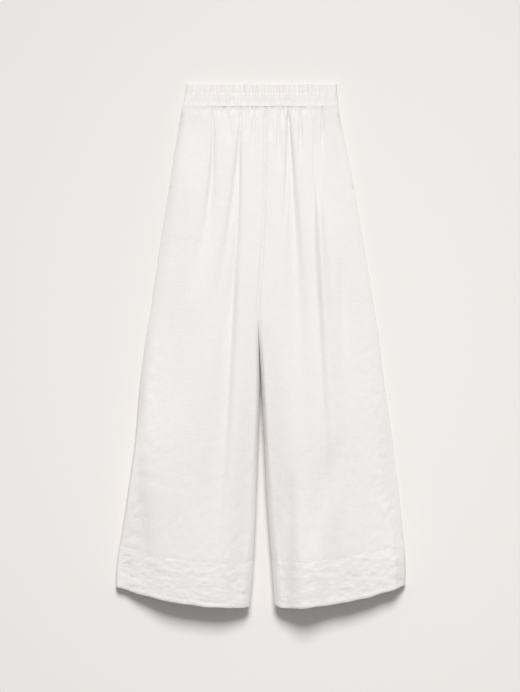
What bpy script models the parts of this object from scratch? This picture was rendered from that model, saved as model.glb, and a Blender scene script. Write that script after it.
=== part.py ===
"""Wide-leg linen trousers with a frilled, elasticated waist, laid out front side up.

Metres. +Z is up, out of the front. +Y points to the waist and -Y to the hems. Left and right are
as they are seen from above, so left is -X. The origin is on the floor, under the middle of the
outline. Every piece of cloth is a wall. The back lies on the floor, and the front arches over it,
so that the waist, the body and both legs are hollow and open at their ends. "Down" is the distance
from the frill's top edge towards the hems, and "across" runs from 0 at a side seam to 1 at the
centre seam or the inside leg seam.
"""

import math
import random
from collections import namedtuple

import bmesh
import bpy

# Driving dimensions
LENGTH = 1.026          # frill's top edge to the lowest point of the hems
FRILL = 0.0215          # frill above the elastic's channel
CHANNEL = 0.0215        # channel that holds the elastic
WAIST_SEAM = FRILL + CHANNEL
ELASTIC_WIDTH = 0.0185
ELASTIC_WALL = 0.0018
LINEN = 0.0015          # one layer of cloth
HEM_WALL = 0.0026       # the hem bands are folded double
SEAM_GAP = 0.0003       # between neighbouring pieces

# The ring of the waistband, seen from its end, is a flattened oval, wider at the seam
BAND_HALF_TOP = 0.150
BAND_HALF_SEAM = 0.156
BAND_MIDDLE_TOP = 0.0040
BAND_MIDDLE_SEAM = 0.0008
BAND_RISE = 0.020       # from the floor to the top of the front band
BAND_CREST = 0.0030     # from the middle of the band's wall to the crests of its pleats
BAND_GROOVE = 0.0021    # from there to the grooves between them
BAND_INSIDE = 0.0023    # from there to its inner face
BAND_LAYER = 0.0012     # one layer of its cloth
BAND_SWELL = 0.0045     # the channel reaches its full thickness this far from the stitched line
FRILL_WAVE = 0.0010     # how far the frill waves to either side
FRILL_ROOT = 0.0020     # the frill narrows this far above the stitched line
FRILL_SCALLOP = 0.0004  # the frill's edge rises this much between its pleats
BAND_TURN = BAND_RISE / 2 - BAND_CREST - SEAM_GAP / 2
CHANNEL_TOP = 0.0015    # from the stitched line down to the hollow of the channel
BAND_PLEATS = 26
BAND_COLUMNS = 2 * BAND_PLEATS + 1
TURN_COLUMNS = 4        # columns round each side of the band
ELASTIC_STEP = 4        # the elastic uses every fourth column between its sides

CROWN_AT = 0.65         # across, where a leg reaches its full height
PANEL_COLUMNS = 26
PANEL_ROWS = 20
BACK_COLUMNS = 15
BACK_ROWS = 14
HEM_ROWS = 3

# One row for each station down the trousers. side and inner are the X of the seams, crown is the
# height of the front, and shoulder is the share of it that the front has beside the side seam.
# part is how far the front has dropped into the parting between the legs, and drop is the share of
# its full height that it loses from there towards its inner edge. round_out and round_in
# are the shares of a leg's width over which the cloth turns down to its seams.
Section = namedtuple(
    "Section",
    "down side_left inner_left inner_right side_right crown_left crown_right "
    "shoulder_left shoulder_right part drop round_out round_in",
)
SECTIONS = [
    Section(*row)
    for row in (
        (0.043, -0.1545, 0.0085, 0.0085, 0.1535, 0.0175, 0.0175, 1.00, 1.00, 0.00, 0.00, 0.10, 0.05),
        (0.080, -0.1610, 0.0090, 0.0090, 0.1600, 0.0200, 0.0200, 0.92, 0.94, 0.00, 0.00, 0.10, 0.05),
        (0.140, -0.1710, 0.0080, 0.0080, 0.1725, 0.0240, 0.0240, 0.80, 0.86, 0.00, 0.00, 0.10, 0.05),
        (0.220, -0.1830, 0.0065, 0.0065, 0.1875, 0.0295, 0.0295, 0.68, 0.78, 0.00, 0.00, 0.11, 0.05),
        (0.310, -0.1975, 0.0040, 0.0040, 0.2025, 0.0345, 0.0345, 0.60, 0.72, 0.00, 0.02, 0.12, 0.03),
        (0.365, -0.2055, 0.0000, 0.0000, 0.2120, 0.0370, 0.0370, 0.57, 0.70, 0.01, 0.04, 0.12, 0.03),
        (0.405, -0.2115, -0.0040, -0.0040, 0.2190, 0.0385, 0.0385, 0.55, 0.68, 0.03, 0.06, 0.12, 0.03),
        (0.440, -0.2165, -0.0055, -0.0055, 0.2240, 0.0395, 0.0395, 0.54, 0.66, 0.08, 0.08, 0.12, 0.03),
        (0.480, -0.2235, -0.0050, -0.0050, 0.2305, 0.0405, 0.0410, 0.53, 0.65, 0.30, 0.10, 0.12, 0.03),
        (0.590, -0.2380, -0.0005, 0.0005, 0.2440, 0.0420, 0.0430, 0.51, 0.62, 1.00, 0.12, 0.12, 0.03),
        (0.700, -0.2475, -0.0065, 0.0075, 0.2600, 0.0425, 0.0440, 0.49, 0.60, 1.00, 0.15, 0.12, 0.03),
        (0.800, -0.2615, -0.0105, 0.0125, 0.2725, 0.0425, 0.0430, 0.48, 0.58, 1.00, 0.18, 0.12, 0.03),
        (0.880, -0.2735, -0.0135, 0.0185, 0.2800, 0.0425, 0.0400, 0.47, 0.56, 1.00, 0.22, 0.11, 0.04),
        (0.945, -0.2838, -0.0170, 0.0240, 0.2850, 0.0430, 0.0370, 0.47, 0.55, 1.00, 0.27, 0.10, 0.05),
        (1.030, -0.2848, -0.0240, 0.0290, 0.2822, 0.0440, 0.0345, 0.48, 0.54, 1.00, 0.32, 0.08, 0.06),
    )
]

# The hems. at_side and at_inside are how far down each end of a hem lies, and depth_side and
# depth_inside are how far the hem seam lies above it. corner lifts the inner corner.
Hem = namedtuple("Hem", "at_side at_inside depth_side depth_inside corner")
HEMS = {
    "left": Hem(0.984, 1.0260, 0.081, 0.088, 0.003),
    "right": Hem(0.980, 1.0260, 0.085, 0.090, 0.006),
}
HEM_BEND = 2.4          # how soon a hem levels out, from its side to its inside corner
HEM_CORNER = 0.06       # share of the width that the lifted corner takes

# The folds. Each is a trough in the front, or a ridge if its depth is negative, that follows a
# curve through three points down the cloth. start and end are distances down, width is the half
# width, and the depth fades to nothing at the end, and at the start unless that is the waist seam.
# There the gathers are sewn nearly flat, and a fold has AT_WAIST_SEAM of its depth.
AT_WAIST_SEAM = 0.35
Fold = namedtuple("Fold", "start end x_start x_middle x_end width_start width_end depth")
FRONT_FOLDS = [
    Fold(*row)
    for row in (
        (0.043, 0.110, -0.128, -0.130, -0.134, 0.009, 0.014, 0.0016),
        (0.043, 0.420, -0.097, -0.104, -0.142, 0.009, 0.024, 0.0046),
        (0.043, 0.130, -0.070, -0.066, -0.062, 0.008, 0.012, 0.0028),
        (0.043, 0.540, -0.039, -0.066, -0.110, 0.009, 0.026, 0.0052),
        (0.130, 0.880, -0.039, -0.049, -0.080, 0.008, 0.028, 0.0048),
        (0.043, 0.150, -0.013, -0.015, -0.018, 0.009, 0.012, 0.0026),
        (0.043, 0.240, 0.034, 0.042, 0.046, 0.009, 0.013, 0.0028),
        (0.043, 0.700, 0.055, 0.077, 0.101, 0.009, 0.030, 0.0054),
        (0.043, 0.190, 0.079, 0.079, 0.084, 0.008, 0.013, 0.0034),
        (0.080, 0.930, 0.107, 0.118, 0.134, 0.008, 0.026, 0.0044),
        (0.043, 0.210, 0.124, 0.125, 0.130, 0.008, 0.014, 0.0032),
        (0.280, 0.720, 0.140, 0.168, 0.184, 0.014, 0.022, 0.0026),
        (0.740, 1.060, 0.066, 0.066, 0.060, 0.014, 0.020, 0.0034),
        (0.780, 1.700, 0.094, 0.090, 0.084, 0.026, 0.042, -0.0120),
    )
]
BACK_FOLDS = [
    Fold(*row)
    for row in (
        (0.043, 0.230, -0.122, -0.130, -0.138, 0.010, 0.018, 0.0030),
        (0.043, 0.340, -0.088, -0.094, -0.106, 0.010, 0.022, 0.0036),
        (0.043, 0.270, -0.052, -0.055, -0.060, 0.010, 0.020, 0.0032),
        (0.043, 0.380, -0.018, -0.022, -0.030, 0.010, 0.022, 0.0036),
        (0.043, 0.360, 0.032, 0.038, 0.046, 0.010, 0.022, 0.0036),
        (0.043, 0.250, 0.066, 0.070, 0.078, 0.010, 0.020, 0.0032),
        (0.043, 0.350, 0.100, 0.108, 0.122, 0.010, 0.022, 0.0036),
        (0.043, 0.220, 0.132, 0.138, 0.146, 0.010, 0.018, 0.0030),
    )
]

# The pockets are let into the side seams
POCKET_TOP = 0.063      # upper end of the mouth
POCKET_END = 0.215      # lower end of the mouth
LIP_OPEN = 0.0014       # how far the front's edge stands open along it
LIP_END = 0.012         # the edge closes over this length at each end
POCKET_WALL = 0.0011    # the two layers of the bag, flat together
BAG_TOP = 0.046
BAG_BOTTOM = 0.330
BAG_WIDTH = 0.125
BAG_LIFT = 0.0040       # the bag lies on the gathers of the back
BAG_RISE = 0.010        # the distance over which it climbs onto them
BAG_CUTAWAY = 0.030     # how far its outer edge leaves the seam at the bottom
BAG_ROWS = 12
BAG_COLUMNS = 8

LINEN_COLOUR = (0.905, 0.885, 0.865, 1.0)
ELASTIC_COLOUR = (0.88, 0.88, 0.87, 1.0)


def clear_scene():
    for old in list(bpy.data.objects):
        bpy.data.objects.remove(old, do_unlink=True)


def material(name, colour, roughness):
    made = bpy.data.materials.new(name)
    made.use_nodes = True
    shader = made.node_tree.nodes["Principled BSDF"]
    shader.inputs["Base Color"].default_value = colour
    shader.inputs["Roughness"].default_value = roughness
    shader.inputs["Metallic"].default_value = 0.0
    return made


def add_node(name, mesh, colour=LINEN_COLOUR, roughness=0.9):
    """Puts a finished mesh into the scene, with a material of its own."""
    bmesh.ops.recalc_face_normals(mesh, faces=mesh.faces)
    data = bpy.data.meshes.new(name)
    mesh.to_mesh(data)
    mesh.free()
    data.materials.append(material(name, colour, roughness))
    data.shade_smooth()
    data.set_sharp_from_angle(angle=math.radians(50))
    bpy.context.scene.collection.objects.link(bpy.data.objects.new(name, data))


def skin(mesh, rings):
    """Faces between each ring of points and the next. Returns the rings' vertices."""
    rows = [[mesh.verts.new(point) for point in ring] for ring in rings]
    for row, after in zip(rows, rows[1:]):
        join(mesh, row, after)
    return rows


def join(mesh, row, after):
    for i in range(len(row)):
        j = (i + 1) % len(row)
        mesh.faces.new((row[i], row[j], after[j], after[i]))


def smooth(value):
    value = min(1.0, max(0.0, value))
    return value * value * (3 - 2 * value)


def quarter_round(share):
    """Rises from 0 to 1 as a quarter of a circle does, standing up straight at 0."""
    share = min(1.0, max(0.0, share))
    return math.sqrt(1 - (1 - share) ** 2)


def section_at(down):
    """The table's section at this distance down, on smooth curves through its rows."""
    last = len(SECTIONS) - 2
    i = max(k for k in range(last + 1) if k == 0 or SECTIONS[k].down <= down)
    before, after = SECTIONS[i], SECTIONS[i + 1]
    span = after.down - before.down
    t = min(1.0, max(0.0, (down - before.down) / span))

    def slope(k, column):
        low, high = SECTIONS[max(k - 1, 0)], SECTIONS[min(k + 1, last + 1)]
        return (high[column] - low[column]) / (high.down - low.down) * span

    values = []
    for column in range(len(before)):
        a, b = before[column], after[column]
        ta, tb = slope(i, column), slope(i + 1, column)
        values.append(
            (2 * t**3 - 3 * t**2 + 1) * a
            + (t**3 - 2 * t**2 + t) * ta
            + (3 * t**2 - 2 * t**3) * b
            + (t**3 - t**2) * tb
        )
    found = Section(*values)
    return found._replace(part=min(1.0, max(0.0, found.part)))


def seams_at(leg, down):
    """(X of the side seam, X of the inner seam) of one leg, half a seam gap off the centre."""
    section = section_at(down)
    if leg == "left":
        return section.side_left, section.inner_left - SEAM_GAP / 2
    return section.side_right, section.inner_right + SEAM_GAP / 2


def fold_depth(folds, x, down):
    """How deep the folds are at a point of the cloth."""
    depth = 0.0
    for fold in folds:
        t = (down - fold.start) / (fold.end - fold.start)
        if not 0 <= t <= 1:
            continue
        middle = (1 - t) ** 2 * fold.x_start + t**2 * fold.x_end
        bend = 2 * fold.x_middle - (fold.x_start + fold.x_end) / 2
        path = middle + 2 * t * (1 - t) * bend
        width = fold.width_start + (fold.width_end - fold.width_start) * t
        fade = 1 - smooth((t - 0.35) / 0.65)
        if fold.start > WAIST_SEAM:
            fade *= smooth(t / 0.25)
        else:
            fade *= AT_WAIST_SEAM + (1 - AT_WAIST_SEAM) * smooth((down - WAIST_SEAM) / 0.020)
        depth += fold.depth * fade * math.exp(-(((x - path) / width) ** 2) * 1.6)
    return depth


def corner_lift(leg, across):
    return HEMS[leg].corner * max(0.0, 1 - (1 - across) / HEM_CORNER) ** 2


def hem_line(leg, across):
    """How far down the hem lies."""
    hem = HEMS[leg]
    level = 1 - (1 - across) ** HEM_BEND
    return hem.at_side + (hem.at_inside - hem.at_side) * level - corner_lift(leg, across)


def hem_seam(leg, across):
    """How far down the seam between a leg and its hem band lies."""
    hem = HEMS[leg]
    depth = hem.depth_side + (hem.depth_inside - hem.depth_side) * across
    return hem_line(leg, across) + corner_lift(leg, across) - depth


def pocket_lip(down):
    """1 along the pocket's mouth, where the front's edge stands open, and 0 beyond its ends."""
    opened = smooth(1 + (down - POCKET_TOP) / LIP_END)
    return opened * smooth(1 + (POCKET_END - down) / LIP_END)


def front_point(leg, across, down, base):
    """A point on the outer face of the front. base is the height of its seamed edges."""
    section = section_at(down)
    side, inner = seams_at(leg, down)
    left = leg == "left"
    crown = section.crown_left if left else section.crown_right
    shoulder = section.shoulder_left if left else section.shoulder_right
    x = side + (inner - side) * across
    turned = quarter_round(across / section.round_out)
    parted = 1 - section.part * (1 - quarter_round((1 - across) / section.round_in))
    lean = shoulder + (1 - shoulder) * smooth(across / CROWN_AT)
    lean = lean - section.drop * smooth((across - CROWN_AT) / (1 - CROWN_AT))
    edge = base + pocket_lip(down) * LIP_OPEN * (1 - smooth(across / section.round_out))
    height = crown * lean - fold_depth(FRONT_FOLDS, x, down)
    return x, LENGTH / 2 - down, edge + (height - edge) * turned * parted


def back_point(leg, across, down):
    """A point on the outer face of the back, which lies on the floor between its gathers."""
    side, inner = seams_at(leg, down)
    x = side + (inner - side) * across
    flat_edges = smooth(across / 0.12) * smooth((1 - across) / 0.06)
    return x, LENGTH / 2 - down, fold_depth(BACK_FOLDS, x, down) * flat_edges


def even(count):
    return [i / (count - 1) for i in range(count)]


def close_at_seams(count):
    """Shares across a front, close together where the cloth turns down to its seams."""
    turn_out = (0.0, 0.007, 0.028, 0.06)
    turn_in = (0.94, 0.972, 0.993, 1.0)
    inside = count - len(turn_out) - len(turn_in)
    step = (turn_in[0] - turn_out[-1]) / (inside + 1)
    return [*turn_out, *(turn_out[-1] + step * (i + 1) for i in range(inside)), *turn_in]


def close_at_waist(count):
    """Shares down a panel, closer together under the gathered waist."""
    return [0.35 * t + 0.65 * t**1.7 for t in even(count)]


def sheet_normals(row, ends):
    """Upward normals of a row of points in its own XZ plane, with given ones at its two ends."""
    normals = [ends[0]]
    for (x0, _, z0), (x1, _, z1) in zip(row, row[2:]):
        long = math.hypot(x1 - x0, z1 - z0)
        normals.append(((z0 - z1) / long, (x1 - x0) / long))
    normals.append(ends[1])
    return normals


def cloth_wall(name, rows, wall, ends=None):
    """A closed wall on a sheet of points, in rows towards +X. It lies under the sheet, or on it if
    wall is negative. ends has the normals at the ends of each row, which are upright without it."""
    upright = ((0.0, 1.0), (0.0, 1.0))
    rings = []
    for k, row in enumerate(rows):
        normals = sheet_normals(row, ends[k] if ends else upright)
        other = [(x - nx * wall, y, z - nz * wall) for (x, y, z), (nx, nz) in zip(row, normals)]
        rings.append(list(row) + other[::-1])
    mesh = bmesh.new()
    skinned = skin(mesh, rings)
    for row in (skinned[0], skinned[-1]):
        facing = row[::-1]
        for i in range(len(row) // 2 - 1):
            mesh.faces.new((row[i], row[i + 1], facing[i + 1], facing[i]))
    add_node(name, mesh)


def towards_plus_x(leg, shares):
    """Shares across in the order that runs towards +X."""
    return list(shares) if leg == "left" else list(reversed(shares))


def front_ends(leg, down):
    """Normals at the two edges of a front: level at a seam on the floor, and upright where the
    front runs on over the centre seam."""
    turn = section_at(down).part * math.pi / 2
    outward = -1 if leg == "left" else 1
    side = (outward, 0.0)
    inner = (-outward * math.sin(turn), math.cos(turn))
    return (side, inner) if leg == "left" else (inner, side)


def sheet_rows(top, bottom, shares, steps, place):
    """Rows of points from one line across the leg to another, both given as distances down."""
    return [
        [place(across, top(across) + (bottom(across) - top(across)) * t) for across in shares]
        for t in steps
    ]


def waist_line(across):
    return WAIST_SEAM + SEAM_GAP


def front_piece(name, leg, top, bottom, steps, wall):
    shares = towards_plus_x(leg, close_at_seams(PANEL_COLUMNS))
    base = wall + SEAM_GAP
    rows = sheet_rows(top, bottom, shares, steps, lambda a, down: front_point(leg, a, down, base))
    middles = [top(0.5) + (bottom(0.5) - top(0.5)) * t for t in steps]
    cloth_wall(name, rows, wall, [front_ends(leg, down) for down in middles])


def back_piece(name, leg, top, bottom, steps, wall):
    shares = towards_plus_x(leg, even(BACK_COLUMNS))
    rows = sheet_rows(top, bottom, shares, steps, lambda a, down: back_point(leg, a, down))
    cloth_wall(name, rows, -wall)


def leg_pieces(leg):
    """The front and back panels of one leg, and the hem bands below them."""

    def above_hem(across):
        return hem_seam(leg, across) - SEAM_GAP / 2

    def hem_top(across):
        return hem_seam(leg, across) + SEAM_GAP / 2

    def hem_edge(across):
        return hem_line(leg, across)

    front_steps, back_steps = close_at_waist(PANEL_ROWS), close_at_waist(BACK_ROWS)
    front_piece(f"front_leg_{leg}", leg, waist_line, above_hem, front_steps, LINEN)
    back_piece(f"back_leg_{leg}", leg, waist_line, above_hem, back_steps, LINEN)
    front_piece(f"hem_front_{leg}", leg, hem_top, hem_edge, even(HEM_ROWS), HEM_WALL)
    back_piece(f"hem_back_{leg}", leg, hem_top, hem_edge, even(2), HEM_WALL)


def pocket_bag(leg):
    """The bag hangs inside the side seam, over the gathers of the back. Its two layers are flat
    together. It is cut away below the mouth, and it is widest at its middle."""
    outward = -1 if leg == "left" else 1
    rows = []
    for t in even(BAG_ROWS):
        down = BAG_TOP + (BAG_BOTTOM - BAG_TOP) * t
        side = seams_at(leg, down)[0]
        below = max(0.0, (down - POCKET_END) / (BAG_BOTTOM - POCKET_END))
        outer = LINEN + 2 * SEAM_GAP + BAG_CUTAWAY * below**1.5
        width = BAG_WIDTH * (0.8 + 0.2 * smooth(2 * t)) * math.sqrt(1 - 0.75 * below**3)
        row = []
        for share in even(BAG_COLUMNS):
            reach = outer + (width - outer) * share
            lift = BAG_LIFT * smooth((reach - outer) / BAG_RISE)
            z = LINEN + SEAM_GAP + POCKET_WALL + lift
            row.append((side - outward * reach, LENGTH / 2 - down, z))
        rows.append(row if leg == "left" else row[::-1])
    cloth_wall(f"pocket_bag_{leg}", rows, POCKET_WALL)


def band_outline(down):
    """(X of the middle, half width) of the waistband, measured over its pleats."""
    t = down / WAIST_SEAM
    middle = BAND_MIDDLE_TOP + (BAND_MIDDLE_SEAM - BAND_MIDDLE_TOP) * t**2
    return middle, BAND_HALF_TOP + (BAND_HALF_SEAM - BAND_HALF_TOP) * t**2


def band_path(down, column):
    """(x, z, outward x, outward z) on the middle of the band's wall, from the left side seam over
    the front to the right side seam. The first and last columns lie round the sides."""
    middle, half = band_outline(down)
    half -= BAND_CREST
    flat = half - BAND_TURN
    if column < TURN_COLUMNS:
        turn = math.pi / 2 * column / TURN_COLUMNS
        along, end = -flat, -1
    elif column > BAND_COLUMNS - 1 - TURN_COLUMNS:
        turn = math.pi / 2 * (BAND_COLUMNS - 1 - column) / TURN_COLUMNS
        along, end = flat, 1
    else:
        inside = BAND_COLUMNS - 1 - 2 * TURN_COLUMNS
        along = flat * (2 * (column - TURN_COLUMNS) / inside - 1)
        turn, end = math.pi / 2, 0
    out_x, out_z = end * math.cos(turn), math.sin(turn)
    return middle + along + out_x * BAND_TURN, out_z * BAND_TURN, out_x, out_z


def band_section(crest):
    """The band's wall from its fold at the top, as (down, distance outwards). It is one folded
    strip: flat together in the frill, and open below it, where the elastic lies between its
    layers. crest is 1 on a pleat and 0 in the groove beside it."""
    inside = ELASTIC_WALL / 2 + SEAM_GAP
    over = BAND_GROOVE + (BAND_CREST - BAND_GROOVE) * crest
    wave = FRILL_WAVE * (2 * crest - 1)
    edge = FRILL_SCALLOP * crest
    channel_top = FRILL + CHANNEL_TOP
    swollen = FRILL + BAND_SWELL
    return (
        (edge, wave + BAND_LAYER),
        (FRILL - FRILL_ROOT, wave / 2 + BAND_LAYER),
        (FRILL, BAND_LAYER),
        (swollen, over),
        (WAIST_SEAM - BAND_SWELL, over),
        (WAIST_SEAM, inside + BAND_LAYER),
        (WAIST_SEAM, inside),
        (channel_top, inside),
        (channel_top, -inside),
        (WAIST_SEAM, -inside),
        (WAIST_SEAM, -BAND_INSIDE),
        (swollen, -BAND_INSIDE),
        (FRILL, -BAND_LAYER),
        (edge, wave - BAND_LAYER),
    )


def band_point(face, column, down, out):
    """A point of the front (face 1) or back (face -1) half of the band, at a distance out from the
    middle of its wall."""
    x, z, out_x, out_z = band_path(down, column)
    z = SEAM_GAP / 2 + z + out_z * out
    return x + out_x * out, LENGTH / 2 - down, BAND_RISE / 2 + face * z


def waistband(name, face, chance):
    """Half of the waistband, from side seam to side seam, with uneven pleats."""
    rings = []
    for column in range(BAND_COLUMNS):
        crest = (column % 2) * chance.uniform(0.75, 1.0)
        rings.append([band_point(face, column, down, out) for down, out in band_section(crest)])
    mesh = bmesh.new()
    rows = skin(mesh, rings)
    ends = [mesh.faces.new(rows[0]), mesh.faces.new(rows[-1])]
    bmesh.ops.triangulate(mesh, faces=ends)
    add_node(name, mesh)


def waist_elastic():
    """A flat band sewn into a ring, inside the channel."""
    top = FRILL + CHANNEL_TOP + SEAM_GAP
    bottom = top + ELASTIC_WIDTH
    half = ELASTIC_WALL / 2
    section = ((top, half), (bottom, half), (bottom, -half), (top, -half))
    turn = range(TURN_COLUMNS)
    flat = range(TURN_COLUMNS, BAND_COLUMNS - TURN_COLUMNS, ELASTIC_STEP)
    far_turn = range(BAND_COLUMNS - TURN_COLUMNS - 1, BAND_COLUMNS)
    columns = sorted({*turn, *flat, *far_turn})
    rings = []
    for face, order in ((1, columns), (-1, columns[::-1])):
        for column in order:
            rings.append([band_point(face, column, down, out) for down, out in section])
    mesh = bmesh.new()
    rows = skin(mesh, rings)
    join(mesh, rows[-1], rows[0])
    add_node("waist_elastic", mesh, ELASTIC_COLOUR, 0.7)


def main():
    clear_scene()
    chance = random.Random(4)
    for leg in ("left", "right"):
        leg_pieces(leg)
        pocket_bag(leg)
    waistband("waistband_front", 1, chance)
    waistband("waistband_back", -1, chance)
    waist_elastic()


main()
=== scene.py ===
"""Looks of the wide-leg linen trousers, laid out front side up.

Metres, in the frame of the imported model: +Y points to the waist, +Z is up, out of the front, and
left is -X. "Down" is the distance from the frill's top edge towards the hems. "Across" runs from 0
at a side seam to 1 at the centre seam or the inside leg seam. Each piece of cloth is a fine sheet
on the form of its solid, with the folds, gathers and crinkles that the solid leaves out.
"""

import math
import random
from collections import namedtuple

import bpy
import numpy as np
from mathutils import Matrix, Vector, noise


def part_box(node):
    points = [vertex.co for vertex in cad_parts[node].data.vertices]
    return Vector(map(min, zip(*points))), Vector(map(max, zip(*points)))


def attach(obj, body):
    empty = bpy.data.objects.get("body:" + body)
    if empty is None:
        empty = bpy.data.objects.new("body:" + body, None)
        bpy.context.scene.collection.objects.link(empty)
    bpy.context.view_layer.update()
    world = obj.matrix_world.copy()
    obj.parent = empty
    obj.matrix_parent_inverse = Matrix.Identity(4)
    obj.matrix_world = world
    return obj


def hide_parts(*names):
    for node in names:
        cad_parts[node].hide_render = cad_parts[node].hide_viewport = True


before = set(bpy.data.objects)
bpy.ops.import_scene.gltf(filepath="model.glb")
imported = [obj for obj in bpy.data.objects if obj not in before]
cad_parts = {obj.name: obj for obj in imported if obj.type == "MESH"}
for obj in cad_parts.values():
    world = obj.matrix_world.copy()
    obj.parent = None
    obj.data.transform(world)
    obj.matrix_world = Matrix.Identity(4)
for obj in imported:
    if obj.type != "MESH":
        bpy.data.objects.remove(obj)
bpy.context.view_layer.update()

# Sizes of the garment, in metres, and places on it
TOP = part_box("waistband_front")[1].y
FRILL = 0.0215              # frill above the stitched line
WAIST_SEAM = 0.043          # the band's lower seam
LINEN = 0.0008              # one layer of cloth, as thick as it looks with its nap
HEM_WALL = 0.0022           # the hem is folded double over its turning
SEAM_GAP = 0.0001           # pieces that are sewn together stay this far apart
BAND_RISE = 0.020           # the waistband's whole thickness
EDGE_ROUND = 0.0045         # the side seams lie this high, on the rounded edge
INSIDE_LIFT = 0.0150        # the inside leg seams rise this much towards the hems
CROWN_AT = 0.65             # across, where a leg reaches its full height
DROP_FROM = 0.76            # across, where it starts to come down to the inside leg seam


def rows_of(kind, *rows):
    """A table whose rows have the columns of kind."""
    return [kind(*row) for row in rows]


# A row for each distance down: the X of the seams, the height of each leg's crown, and the share of
# that height beside the side seam (shoulder). part is 0 above the crotch and 1 where the legs have
# parted, and drop is the share of the crown's height that is lost at the inside leg seam. The cloth
# turns down to its seams within the shares across round_out and round_in.
Section = namedtuple(
    "Section",
    "down side_left inner_left inner_right side_right crown_left crown_right "
    "shoulder_left shoulder_right part drop round_out round_in",
)
SECTIONS = rows_of(
    Section,
    (0.043, -0.1542, 0.0085, 0.0085, 0.1528, 0.0177, 0.0177, 1.00, 1.00, 0.00, 0.00, 0.045, 0.05),
    (0.080, -0.1610, 0.0090, 0.0090, 0.1595, 0.0191, 0.0191, 0.87, 0.86, 0.00, 0.00, 0.080, 0.05),
    (0.140, -0.1710, 0.0080, 0.0080, 0.1725, 0.0215, 0.0215, 0.78, 0.72, 0.00, 0.00, 0.105, 0.05),
    (0.220, -0.1830, 0.0065, 0.0065, 0.1875, 0.0250, 0.0250, 0.70, 0.63, 0.00, 0.00, 0.115, 0.05),
    (0.310, -0.1975, 0.0040, 0.0040, 0.2025, 0.0291, 0.0291, 0.62, 0.57, 0.00, 0.00, 0.130, 0.04),
    (0.365, -0.2055, 0.0000, 0.0000, 0.2120, 0.0316, 0.0316, 0.60, 0.52, 0.00, 0.00, 0.130, 0.04),
    (0.405, -0.2115, -0.0035, -0.0035, 0.2190, 0.0334, 0.0335, 0.58, 0.49, 0.01, 0.01, 0.130, 0.04),
    (0.440, -0.2165, -0.0050, -0.0050, 0.2240, 0.0350, 0.0350, 0.57, 0.46, 0.02, 0.03, 0.125, 0.04),
    (0.480, -0.2235, -0.0047, -0.0043, 0.2305, 0.0366, 0.0369, 0.56, 0.44, 0.05, 0.06, 0.120, 0.04),
    (0.590, -0.2380, -0.0020, 0.0012, 0.2440, 0.0408, 0.0418, 0.64, 0.41, 0.85, 0.17, 0.110, 0.035),
    (0.700, -0.2475, -0.0050, 0.0065, 0.2600, 0.0428, 0.0446, 0.80, 0.43, 1.00, 0.27, 0.100, 0.04),
    (0.800, -0.2615, -0.0085, 0.0112, 0.2725, 0.0432, 0.0452, 0.84, 0.49, 1.00, 0.33, 0.095, 0.05),
    (0.880, -0.2735, -0.0115, 0.0168, 0.2800, 0.0440, 0.0455, 0.76, 0.57, 1.00, 0.36, 0.085, 0.05),
    (0.945, -0.2838, -0.0155, 0.0222, 0.2850, 0.0446, 0.0456, 0.66, 0.64, 1.00, 0.34, 0.070, 0.06),
    (1.030, -0.2848, -0.0230, 0.0278, 0.2822, 0.0436, 0.0440, 0.66, 0.71, 1.00, 0.29, 0.060, 0.06),
)

# How each leg stands up from its seams:
# - its upper part curves down to the side seam, and near the waist more bluntly, by waist_curl
# - lower down, a steep wall takes up a share of the rise, and a slope as wide as reach the rest
# - both change from high to low, and the crown comes closer to the side seam, by crown_nearer
# - inside_curl is how blunt the turn to the inside leg seam is
Stand = namedtuple(
    "Stand",
    "waist_curl wall_high wall_low reach_high reach_low reach_from reach_over crown_nearer "
    "inside_curl",
)
STANDS = {
    "left": Stand(0.75, 0.74, 0.74, 0.13, 0.25, 0.72, 0.24, 0.10, 0.15),
    "right": Stand(0.40, 0.00, 0.18, 0.12, 0.08, 0.78, 0.16, 0.00, 0.00),
}
SIDE_CURL = 0.25            # how blunt the curve at the side is away from the waist
WALL_WIDTH = 0.022          # the steep wall's share across
WALLED_FROM = 0.60          # down, where the wall starts to take the curve's place
WALL_CHANGES_FROM = 0.80    # down, where the wall starts to change, and over how much
WALL_CHANGES_OVER = 0.15
WAIST_CURL_LENGTH = 0.05    # the seams settle from the waistband's form within this much
LIFT_FROM = 0.42            # down, where the inside leg seams start to rise, and over how much
LIFT_OVER = 0.26

# Where each hem lies at the side seam and at the inside leg seam, how deep its band is there, how
# much its inside corner is lifted, and where the small waves of its two edges start.
Hem = namedtuple("Hem", "at_side at_inside depth_side depth_inside corner line_start seam_start")
HEMS = {
    "left": Hem(0.986, 1.0260, 0.081, 0.088, 0.003, 2.7, 1.5),
    "right": Hem(0.983, 1.0260, 0.085, 0.090, 0.006, 5.4, 3.0),
}
HEM_BEND = 2.1              # how fast the hem's curve levels out towards the inside
HEM_CORNER = 0.06           # the lifted corner's share across

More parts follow.
